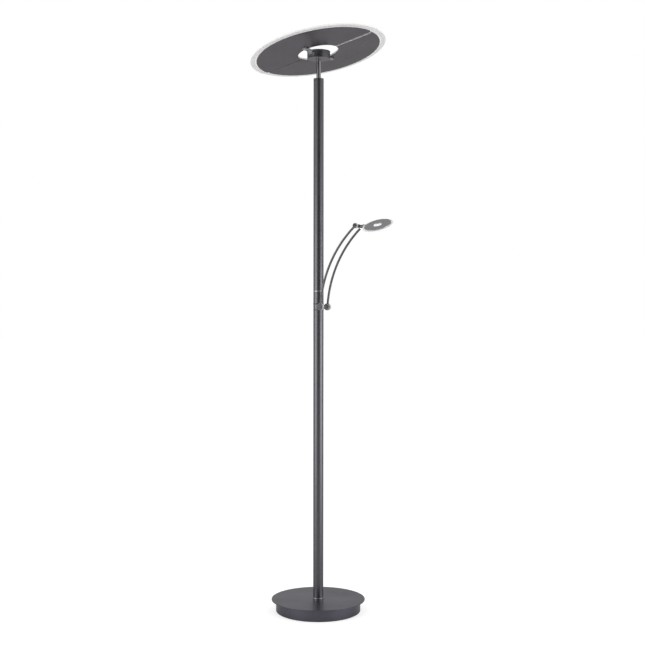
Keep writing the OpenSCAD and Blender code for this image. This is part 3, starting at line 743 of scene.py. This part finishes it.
def make_pole():
    s = sizes()
    steps = s.round_steps // 2
    for name in ("lower_tube", "upper_tube"):
        tube = node_ring(name, high(name).x - s.tube_wall, steps)
        piece(softened(tube, 0.3), f"pole_{name}", "stand", "anthracite", [name])
    # Rings that are rounded by a share of their height
    for name, inner, share, coats in (("foot_ring", s.stud_hole, 0.3, ["nickel_plate"]),
                                      ("lower_collar_ring", s.spindle, 0.36, ()),
                                      ("upper_collar_ring", s.spindle, 0.36, ())):
        bottom, top = levels(name)
        bead = softened(node_ring(name, inner, steps), (top - bottom) * share / MM, 5)
        piece(bead, f"pole_{name}", "stand", SLOT_OF[name], [name], coats)
    trim = node_ring("dimmer_ring", s.spindle, steps)
    piece(softened(trim, 0.3), "pole_dimmer_ring", "stand", SLOT_OF["dimmer_ring"],
          ["dimmer_ring"], ["nickel_plate"])
    sleeve = node_ring("dimmer_sleeve", s.spindle + s.running_fit, steps)
    piece(softened(sleeve, 0.45), "dimmer_grip_sleeve", "dimmer", "anthracite", ["dimmer_sleeve"])
    plug = node_ring("top_plug", s.rod_foot, steps)
    piece(softened(plug, 0.3, 2), "pole_end_plug", "stand", "anthracite", ["top_plug"])

    bottom, top = levels("head_rod")
    rod_r = high("head_rod").x
    pole_top, hub_bottom = high("upper_tube").z, low("hub_cup").z
    outline = [(s.rod_bore, bottom), (s.rod_foot, bottom), (s.rod_foot, pole_top),
               (rod_r, pole_top), (rod_r, hub_bottom), (s.rod_head, hub_bottom), (s.rod_head, top),
               (s.rod_bore, top)]
    piece(softened(turned(outline, steps), 0.3), "head_rod_tube", "stand", SLOT_OF["head_rod"],
          ["head_rod"], ["polished_nickel"])


# ---------- Hub ----------


def make_hub():
    s = sizes()
    steps = s.round_steps // 2
    radius = high("hub_cup").x
    bottom, rim = levels("hub_cup")
    inner, floor_z = radius - s.hub_wall, bottom + s.hub_wall
    outline = [(s.rod_head, bottom), (radius, bottom), (radius, rim), (inner, rim),
               (inner, floor_z), (s.rod_head, floor_z)]
    hole = along_y(disc(s.pin + s.running_fit, -radius - PAST, radius + PAST), z=PIVOT.z)
    cup = carved(turned(outline, steps), hole)
    piece(softened(cup, 0.6, 4), "hub_housing", "stand", "anthracite", ["hub_cup"])

    lid = disc(radius, *levels("hub_lid"), steps)
    top = high("hub_lid").z
    screws = bmesh.new()
    circle_r, count, first = 0.72 * radius, 3, 30
    for spot in range(count):
        angle = math.radians(first + spot * 360 / count)
        x, y = circle_r * math.cos(angle), circle_r * math.sin(angle)
        carved(lid, moved(countersink(), x, y, top))
        merged(screws, moved(countersunk_head(), x, y, top))
    piece(softened(lid, 0.5), "hub_top_lid", "stand", "anthracite", ["hub_lid"])
    piece(screws, "hub_lid_screws", "stand", "zinc_steel")


# ---------- Uplight ----------


def half_ring(side, outer, inner, bottom, top, gap):
    """Half a ring about Z, with its straight edge a gap away from the XZ plane."""
    bm = ring(outer, inner, bottom, top, sizes().round_steps)
    return clipped(bm, (0, side * gap, 0), (0, -side, 0))


def slit_corner(side, end, plate_r, gap, bottom, top):
    """What rounding takes off a half plate's corner at one outer end of the slit."""
    radius = sizes().slit_corner
    y = gap + radius
    x = math.sqrt((plate_r - radius) ** 2 - y ** 2)
    past = plate_r + PAST
    bm = bmesh.new()
    corners = [(x, y), (x, 0), (past, 0), (past, past * y / x)]
    face = bm.faces.new([bm.verts.new((end * a, side * b, bottom)) for a, b in corners])
    grown = bmesh.ops.extrude_face_region(bm, geom=[face])["geom"]
    bmesh.ops.translate(bm, verts=[v for v in grown if isinstance(v, bmesh.types.BMVert)],
                        vec=(0, 0, top - bottom))
    bmesh.ops.recalc_face_normals(bm, faces=bm.faces)
    rounding = disc(radius, bottom - PAST, top + PAST, FINE_STEPS)
    return carved(bm, moved(rounding, end * x, side * y))


def acrylic_ring(outer, inner, band, bottom, top, steps):
    """A ring with index 1 on its outer wall and under its band, which get a lighter glowing copy of the acrylic as
    painted light, and 2 under its rim, which gets a darker copy as painted shade.
    """
    bm = turned([(inner, bottom), (band[0], bottom), (band[1], bottom), (outer, bottom),
                 (outer, top), (band[0], top), (inner, top)], steps)
    for face in bm.faces:
        centre = face.calc_center_median()
        if centre.xy.length > band[0]:
            under_rim = centre.xy.length > band[1] and centre.z < bottom + CLOSE
            face.material_index = 2 if under_rim else 1
    return bm


def led_chips(spots, z):
    """LED packages standing on z at (x, y, angle): a square body with a round window."""
    s = sizes()
    half = s.led / 2
    window_r, window_z = half * 0.74, (z + s.led_height * 0.5, z + s.led_height * 1.02)
    bodies, windows = bmesh.new(), bmesh.new()
    for x, y, angle in spots:
        body = softened(block((-half, -half, z), (half, half, z + s.led_height)), 0.12, 2)
        merged(bodies, moved(rotated(body, angle, "Z"), x, y))
        merged(windows, moved(disc(window_r, *window_z, SCREW_STEPS // 2), x, y))
    return bodies, windows


def uplight_spots(side, inner, outer, rows=2, per_row=14, margin=8):
    """Where the LEDs of one half stand; the margin is in degrees from the slit."""
    spots = []
    for row in range(1, rows + 1):
        radius = inner + row * (outer - inner) / (rows + 1)
        for k in range(per_row):
            angle = side * math.radians(margin + k * (180 - 2 * margin) / (per_row - 1))
            spots.append((radius * math.cos(angle), radius * math.sin(angle), angle))
    return spots


def make_uplight():
    s = sizes()
    for name, side in SIDES.items():
        body = f"{name}_uplight"
        plate_node, disc_node = f"{name}_half_plate", f"{name}_half_diffuser"
        gap, plate_r = sorted((abs(low(plate_node).y), abs(high(plate_node).y)))
        disc_r = max(abs(low(disc_node).y), abs(high(disc_node).y))
        plate_z = PIVOT.z + s.yoke_knuckle
        board_z = plate_z + s.uplight_plate
        board_top = board_z + s.board
        board_in, board_out = s.uplight_hole + s.board_margin, plate_r - s.board_margin

        plate = softened(half_ring(side, plate_r, s.uplight_hole, plate_z, board_z, gap), 0.7)
        for end in (-1, 1):
            carved(plate, slit_corner(side, end, plate_r, gap, plate_z - PAST, board_z + PAST))
        edge_depth, lap = mm(0.3, 1)
        # Painted highlight: a bare cut edge, but only the slit's edge faces on the +X side get the lighter
        # aluminium, where light catches them; the -X side keeps the plate's coat
        for face in plate.faces:
            centre = face.calc_center_median()
            face.material_index = int(centre.x > 0 and abs(centre.y) < gap + edge_depth)
        piece(tilted(plate, side), f"{name}_metal_half", body, SLOT_OF[plate_node],
              [plate_node], ["uplight_coat", "bare_edge"])

        pocket = half_ring(side, plate_r - s.uplight_land, s.uplight_hole + s.uplight_land,
                           board_z - PAST, board_z + s.uplight_pocket, gap + s.uplight_land)
        # Painted light and shade: the band beside the plate gets a lighter glowing copy of the acrylic, the rim's
        # underside a darker copy
        band = (plate_r - lap, plate_r + s.painted_glow_band)
        clear = acrylic_ring(disc_r, s.uplight_hole, band, board_z, board_z + s.uplight_disc,
                             s.round_steps)
        clipped(clear, (0, side * gap, 0), (0, -side, 0))
        carved(softened(clear, s.disc_edge / MM), pocket)
        piece(tilted(clear, side), f"{name}_acrylic_half", body, "diffuser",
              [disc_node], ["diffuser", "diffuser_painted_light", "diffuser_rim_painted_shade"])

        board = half_ring(side, board_out, board_in, board_z, board_top, gap + s.board_margin)
        piece(tilted(board, side), f"{name}_board", body, "led_board", [f"{name}_led_board"])
        packages, windows = led_chips(uplight_spots(side, board_in, board_out), board_top)
        piece(tilted(packages, side), f"{name}_led_packages", body, "led_board", [f"{name}_leds"])
        piece(tilted(windows, side), f"{name}_led_windows", body, "led_chip")
        make_yoke(name, side, body, plate_z)


def make_yoke(name, side, body, plate_z):
    """The arm that carries one half of the uplight from its pivot pin."""
    s = sizes()
    start, end = s.yoke_start, s.uplight_hole + s.yoke_reach
    half = s.yoke_width / 2
    near_y, far_y = sorted((side * start, side * end))
    bar = block((-half, near_y, plate_z - s.yoke_bar), (half, far_y, plate_z))
    upright = [edge for edge in bar.edges if abs(edge.verts[0].co.z - edge.verts[1].co.z) > CLOSE]
    corners = [edge for edge in upright if abs(edge.verts[0].co.y) > end - CLOSE]
    bevelled(bar, corners, half * 0.8, 8)
    length, cap_start, cap_end = mm(13.5, 11.5, 13.4)
    knuckle = along_y(ring(s.yoke_knuckle, s.pin, start, start + length), z=PIVOT.z, side=side)
    cap = along_y(disc(s.pin * 1.02, start + cap_start, start + cap_end), z=PIVOT.z, side=side)
    arm = merged(softened(bar, 0.5), softened(knuckle, 0.6), cap)
    piece(tilted(arm, side), f"{name}_yoke", body, SLOT_OF[f"{name}_yoke_arm"],
          [f"{name}_yoke_arm"], ["nickel_plate"])

    head_r, head_h, shank_r, shank = mm(2.75, 1.8, 1.5, 8.5)
    screws = bmesh.new()
    for reach in mm(7, 18):
        screw = rotated(pan_screw(head_r, head_h, shank_r, shank), math.pi, "X")
        spot = (0, side * (s.uplight_hole + reach), plate_z - s.yoke_bar - head_h)
        merged(screws, moved(screw, *spot))
    piece(tilted(screws, side), f"{name}_yoke_bolts", body, "zinc_steel", [f"{name}_yoke_screws"])


# ---------- Reading arm ----------


def arc_middle(start, end, radius):
    """Middle of the arc between two points in the XZ plane, on the +X side."""
    chord = end - start
    rise = math.sqrt(radius ** 2 - (chord.length / 2) ** 2)
    return (start + end) / 2 + Vector((chord.z, 0, -chord.x)).normalized() * rise


def arm_rod(y, radius):
    """A rod along the arm's arc, from near one pivot to near the other."""
    s = sizes()
    middle = arc_middle(LOWER_PIVOT, UPPER_PIVOT, s.arm_arc)
    stop = s.rod_stop / s.arm_arc
    first, last = (math.atan2((p - middle).z, (p - middle).x) for p in (UPPER_PIVOT, LOWER_PIVOT))
    centre = Vector((middle.x, y, middle.z))
    bm = bmesh.new()
    bmesh.ops.create_circle(bm, cap_ends=True, radius=radius, segments=s.small_steps // 2)
    moved(bm, x=s.arm_arc)
    moved(rotated(bm, -first - stop, "Y"), *centre)
    bmesh.ops.spin(bm, geom=bm.faces[:], cent=centre, axis=(0, -1, 0), dvec=(0, 0, 0),
                   angle=last - first - 2 * stop, steps=FINE_STEPS)
    bmesh.ops.recalc_face_normals(bm, faces=bm.faces)
    return softened(bm, 0.3, 2)


def end_disc(pivot, radius, inside, outside, side):
    """A polished pivot disc, with a shallow dark dish of index 1 and a small button in its face."""
    dish, button = radius * 0.62, radius * 0.34
    rim, step, button_in, crown = mm(0.6, 0.45, 0.1, 0.05)
    outline = [(0, inside), (radius, inside), (radius, outside - rim), (radius - rim, outside),
               (dish + step, outside), (dish, outside - step), (button + step, outside - step),
               (button, outside - button_in), (0, outside - crown)]
    bm = turned(outline, FINE_STEPS, closed=False)
    for face in bm.faces:
        centre = face.calc_center_median()
        face.material_index = int(centre.z > outside - step - CLOSE
                                  and centre.xy.length < radius - rim + CLOSE)
    return along_y(softened(bm, 0.35), pivot.x, pivot.z, side)


def make_arm():
    s = sizes()
    for name, side in SIDES.items():
        rod = f"{name}_arm_rod"
        near_y, far_y = low(rod).y, high(rod).y
        piece(arm_rod((near_y + far_y) / 2, (far_y - near_y) / 2), f"{name}_curved_rod",
              "reading_arm", SLOT_OF[rod], [rod])
        for level, pivot in (("lower", LOWER_PIVOT), ("upper", UPPER_PIVOT)):
            node = f"{name}_{level}_disc"
            radius = (high(node).z - low(node).z) / 2
            inside, outside = sorted((abs(low(node).y), abs(high(node).y)))
            piece(end_disc(pivot, radius, inside, outside, side), f"{name}_{level}_pivot_disc",
                  "reading_arm", SLOT_OF[node], [node], ["chrome", "disc_face"])
            pad = ring(radius - s.pad_inset, s.pad_hole, inside - s.pad_proud, inside + s.pad_sunk)
            piece(along_y(softened(pad, 0.08, 2), pivot.x, pivot.z, side),
                  f"{name}_{level}_friction_pad", "reading_arm", "washer_plastic")

    bottom, top = levels("arm_collar")
    steps = s.round_steps // 2
    bore = s.spindle + s.running_fit
    sleeve = ring(high("lower_tube").x, bore, bottom, top, steps)
    barrel_l = high("arm_collar").y
    barrel_r = high("arm_collar").x - LOWER_PIVOT.x
    barrel = ring(barrel_r, s.lower_axle, -barrel_l, barrel_l)
    along_y(barrel, LOWER_PIVOT.x, LOWER_PIVOT.z)
    carved(barrel, disc(bore, bottom - PAST, top + PAST, steps))
    piece(softened(sleeve, 0.5), "swivel_sleeve", "swivel_collar", "anthracite", ["arm_collar"])
    piece(softened(barrel, 0.5), "swivel_barrel", "swivel_collar", "anthracite")


# ---------- Reading head ----------


def make_neck():
    s = sizes()
    node = "reading_knuckle"
    barrel_l, barrel_r = high(node).y, UPPER_PIVOT.z - low(node).z
    barrel = ring(barrel_r, s.upper_axle, -barrel_l, barrel_l)
    softened(along_y(barrel, UPPER_PIVOT.x, UPPER_PIVOT.z), 0.6)
    for face in barrel.faces:
        face.material_index = 1
    neck_start, gap = mm(2.2, 0.3)
    neck_end = low("reading_socket").x - UPPER_PIVOT.x - gap
    spigot_end = high(node).x - UPPER_PIVOT.x
    outline = [(0, neck_start), (s.reading_neck, neck_start), (s.reading_neck, neck_end),
               (s.reading_spigot, neck_end), (s.reading_spigot, spigot_end), (0, spigot_end)]
    neck = along_x(turned(outline, s.small_steps, closed=False), UPPER_PIVOT.x, UPPER_PIVOT.z)
    piece(merged(barrel, softened(neck, 0.4)), "reading_neck_knuckle", "reading_neck",
          SLOT_OF[node], [node], ["polished_nickel", "disc_face"])


def make_reading_head():
    s = sizes()
    middle_x = high("reading_diffuser").x - s.reading_disc
    axis_z = UPPER_PIVOT.z
    under = axis_z - s.reading_drop
    socket_start, socket_end = low("reading_socket").x, high("reading_socket").x
    room, notch_reach, land, pocket_depth, board_margin = mm(4, 20, 1.5, 2.3, 3.5)

    def notch():
        """Room for the socket."""
        return block((socket_start - notch_reach, -room, axis_z - notch_reach),
                     (socket_end, room, axis_z + notch_reach))

    def head_ring(outer, margin, bottom, top):
        """A ring that stays a margin away from the head's hole."""
        bm = ring(outer, s.reading_hole + margin, bottom, top, s.round_steps // 2)
        return moved(bm, x=middle_x)

    def head_piece(shape, name, slot, nodes, coats=()):
        piece(rolled(shape), name, "reading_head", slot, nodes, coats)

    plate = carved(head_ring(s.reading_plate, 0, under, under + s.reading_plate_t), notch())
    head_piece(softened(plate, 0.7), "reading_top_plate", "reading_metal", ["reading_plate"])

    pocket = head_ring(s.reading_plate - land, land, under - pocket_depth, under + PAST)
    clear = head_ring(s.reading_disc, 0, under - s.reading_disc_t, under)
    # Painted glow: the whole reading acrylic gets the lighter glowing copy of the acrylic
    head_piece(softened(carved(clear, pocket, notch()), 0.8), "reading_acrylic", "diffuser",
               ["reading_diffuser"], ["diffuser_painted_light"])

    board_z = under - s.reading_board
    board = carved(head_ring(s.reading_plate - board_margin, board_margin, board_z, under), notch())
    head_piece(board, "reading_board", "led_board", ["reading_led_board"])
    circle_r, count = (s.reading_plate + s.reading_hole) / 2, 16
    angles = [math.pi + (k + 0.5) * math.tau / count for k in range(count)]
    spots = [(circle_r * math.cos(a), circle_r * math.sin(a), a) for a in angles]
    packages, windows = led_chips(spots, 0)
    for shape, name, slot, nodes in ((packages, "packages", "led_board", ["reading_leds"]),
                                     (windows, "windows", "led_chip", [])):
        moved(rotated(shape, math.pi, "X"), x=middle_x, z=board_z)
        head_piece(shape, f"reading_led_{name}", slot, nodes)

    length = socket_end - socket_start
    bore, floor = s.reading_spigot + s.running_fit, length - 3.6 * MM
    outline = [(bore, 0), (s.reading_neck, 0), (s.reading_neck, length), (0, length), (0, floor),
               (bore, floor)]
    socket = along_x(turned(outline, s.small_steps, closed=False), socket_start, axis_z)
    head_piece(softened(socket, 0.4), "reading_neck_socket", "reading_metal", ["reading_socket"])


# ---------- Carried-over nodes ----------


def finish_frame_nodes():
    """Gives each CAD node that still shows the finish of its slot."""
    for name, node in FRAME["nodes"].items():
        if not node.hide_render:
            for slot in node.material_slots:
                slot.material = finish(SLOT_OF[name])


# ---------- Studio ----------


def math_node(nodes, links, operation, first, second):
    """A Math node on an output and either another output or a number."""
    node = nodes.new("ShaderNodeMath")
    node.operation = operation
    links.new(first, node.inputs[0])
    if isinstance(second, bpy.types.NodeSocket):
        links.new(second, node.inputs[1])
    else:
        node.inputs[1].default_value = second
    return node.outputs["Value"]


# Levels of the room against the cosine from its dark side, and against height
ROOM_AROUND = ((-1, 0.5), (0, 0.86), (0.78, 0.84), (0.93, 0.01))
ROOM_UP = ((-1, 1.0), (0.35, 1.0), (0.8, 0.55))


def make_floor():
    width = studio().floor_size
    bm = bmesh.new()
    bmesh.ops.create_grid(bm, x_segments=1, y_segments=1, size=width / 2)
    mesh = bpy.data.meshes.new("floor")
    bm.to_mesh(mesh)
    bm.free()
    floor = bpy.data.objects.new("floor", mesh)
    bpy.context.scene.collection.objects.link(floor)
    material = bpy.data.materials.new("pale_floor")
    material.use_nodes = True
    nodes, links = material.node_tree.nodes, material.node_tree.links
    surface = nodes["Principled BSDF"]
    surface.inputs["Base Color"].default_value = (0.9, 0.9, 0.9, 1)
    surface.inputs["Roughness"].default_value = 0.9
    surface.inputs["Specular IOR Level"].default_value = 0.1
    surface.inputs["Emission Color"].default_value = (1, 1, 1, 1)
    seen = nodes.new("ShaderNodeLightPath").outputs["Is Camera Ray"]
    glow = math_node(nodes, links, "MULTIPLY", seen, studio().floor_glow)
    links.new(glow, surface.inputs["Emission Strength"])
    mesh.materials.append(material)


def ramp_node(nodes, links, value, stops):
    """A ramp from a value between -1 and 1 to grey levels; stops are (value, level)."""
    ramp = nodes.new("ShaderNodeValToRGB")
    ramp.color_ramp.interpolation = "EASE"
    points = ramp.color_ramp.elements
    while len(points) < len(stops):
        points.new(0.5)
    for point, (place, level) in zip(points, stops):
        point.position = (place + 1) / 2
        point.color = (level, level, level, 1)
    centred = nodes.new("ShaderNodeMapRange")
    centred.inputs["From Min"].default_value = -1
    links.new(value, centred.inputs["Value"])
    links.new(centred.outputs["Result"], ramp.inputs["Fac"])
    return ramp.outputs["Color"]


def make_world():
    """A bright room that is dark around the camera, so that round pieces keep a dark core."""
    dark = studio().azimuth + studio().dark_off
    world = bpy.data.worlds.new("bright_room")
    world.use_nodes = True
    nodes, links = world.node_tree.nodes, world.node_tree.links
    background = nodes["Background"]
    place = nodes.new("ShaderNodeTexCoord").outputs["Generated"]
    levels = []
    for axis, stops in (((math.sin(dark), -math.cos(dark), 0), ROOM_AROUND), ((0, 0, 1), ROOM_UP)):
        towards = nodes.new("ShaderNodeVectorMath")
        towards.operation = "DOT_PRODUCT"
        towards.inputs[1].default_value = axis
        links.new(place, towards.inputs[0])
        levels.append(ramp_node(nodes, links, towards.outputs["Value"], stops))
    product = math_node(nodes, links, "MULTIPLY", *levels)
    seen = nodes.new("ShaderNodeLightPath").outputs["Is Camera Ray"]
    strength = math_node(nodes, links, "MAXIMUM", seen, product)
    links.new(strength, background.inputs["Strength"])
    background.inputs["Color"].default_value = (1, 1, 1, 1)
    bpy.context.scene.world = world


def softbox(name, angle, height, tall, power, distance=2.6, width=2.3):
    """An area light that stands some degrees from the camera's side and faces the pole."""
    light = bpy.data.lights.new(name, "AREA")
    light.shape = "RECTANGLE"
    light.size = width
    light.size_y = tall
    light.energy = power
    obj = bpy.data.objects.new(name, light)
    azimuth = studio().azimuth + math.radians(angle)
    spot = Vector((math.sin(azimuth) * distance, -math.cos(azimuth) * distance, height))
    obj.location = spot
    obj.rotation_euler = (UP * studio().light_aim - spot).to_track_quat("-Z", "Y").to_euler()
    bpy.context.scene.collection.objects.link(obj)


def make_camera():
    view = studio()
    back = Vector((math.sin(view.azimuth), -math.cos(view.azimuth), 0))
    camera = bpy.data.objects.new("camera", bpy.data.cameras.new("camera"))
    camera.data.lens = view.lens
    camera.data.sensor_width = 36
    camera.data.shift_y = view.drop
    camera.data.clip_end = 200
    camera.location = back * view.distance + UP * view.height
    aim = -back
    aim.rotate(Matrix.Rotation(-view.aim_off, 3, "Z"))
    stance = aim.to_track_quat("-Z", "Y") @ Quaternion((0, 0, 1), view.roll)
    camera.rotation_euler = stance.to_euler()
    bpy.context.scene.collection.objects.link(camera)
    bpy.context.scene.camera = camera


def make_studio():
    make_camera()
    make_floor()
    make_world()
    softbox("left_softbox", angle=-62, height=0.75, tall=1.5, power=22)
    softbox("right_softbox", angle=68, height=0.65, tall=1.4, power=24)
    view = bpy.context.scene.view_settings
    view.view_transform = "Standard"
    view.look = "None"


# ---------- Operators ----------


class LampOperator:
    """What the lamp's operators share"""

    bl_options = {"REGISTER", "UNDO"}
    steps = ()

    def execute(self, context):
        for step in self.steps:
            step()
        return {"FINISHED"}


class LAMP_OT_base(LampOperator, bpy.types.Operator):
    """Make the base plate, drum, felt, cover screws and cord grommet"""

    bl_idname = "lamp.base"
    bl_label = "Base"
    steps = (make_base,)


class LAMP_OT_pole(LampOperator, bpy.types.Operator):
    """Make the pole's tubes, rings, dimmer sleeve and bright rod"""

    bl_idname = "lamp.pole"
    bl_label = "Pole and dimmer"
    steps = (make_pole,)


class LAMP_OT_hub(LampOperator, bpy.types.Operator):
    """Make the hub that the uplight's halves pivot on"""

    bl_idname = "lamp.hub"
    bl_label = "Hub"
    steps = (make_hub,)


class LAMP_OT_uplight(LampOperator, bpy.types.Operator):
    """Make the two halves of the uplight with their boards, LEDs and yoke arms"""

    bl_idname = "lamp.uplight"
    bl_label = "Uplight"
    steps = (make_uplight,)


class LAMP_OT_arm(LampOperator, bpy.types.Operator):
    """Make the swivel collar, the curved rods and their pivot discs"""

    bl_idname = "lamp.arm"
    bl_label = "Reading arm"
    steps = (make_arm,)


class LAMP_OT_reading_head(LampOperator, bpy.types.Operator):
    """Make the neck and the reading head"""

    bl_idname = "lamp.reading_head"
    bl_label = "Reading head"
    steps = (make_neck, make_reading_head)


class LAMP_OT_inner_parts(LampOperator, bpy.types.Operator):
    """Give the carried-over inner parts their finishes"""

    bl_idname = "lamp.inner_parts"
    bl_label = "Inner parts"
    steps = (finish_frame_nodes,)


class LAMP_OT_studio(LampOperator, bpy.types.Operator):
    """Make the camera, the floor and the light"""

    bl_idname = "lamp.studio"
    bl_label = "Studio"
    steps = (make_studio,)


OPERATORS = (LAMP_OT_base, LAMP_OT_pole, LAMP_OT_hub, LAMP_OT_uplight, LAMP_OT_arm,
             LAMP_OT_reading_head, LAMP_OT_inner_parts, LAMP_OT_studio)


class LAMP_PT_panel(bpy.types.Panel):
    """The lamp's operators and settings"""

    bl_idname = "LAMP_PT_panel"
    bl_label = "Floor uplighter"
    bl_space_type = "VIEW_3D"
    bl_region_type = "UI"
    bl_category = "Uplighter"

    def draw(self, context):
        for operator in OPERATORS:
            self.layout.operator(operator.bl_idname)
        for group in (sizes(), finishes(), studio()):
            box = self.layout.box()
            for name in group.__annotations__:
                box.prop(group, name)


CLASSES = (LampSizes, LampFinishes, StudioSettings, *OPERATORS, LAMP_PT_panel)


def register():
    for cls in CLASSES:
        bpy.utils.register_class(cls)
    bpy.types.Scene.lamp_sizes = PointerProperty(type=LampSizes)
    bpy.types.Scene.lamp_finishes = PointerProperty(type=LampFinishes)
    bpy.types.Scene.lamp_studio = PointerProperty(type=StudioSettings)


def unregister():
    for name in ("lamp_sizes", "lamp_finishes", "lamp_studio"):
        delattr(bpy.types.Scene, name)
    for cls in reversed(CLASSES):
        bpy.utils.unregister_class(cls)


def main():
    register()
    for operator in OPERATORS:
        group, name = operator.bl_idname.split(".")
        getattr(getattr(bpy.ops, group), name)()


if __name__ == "__main__":
    main()
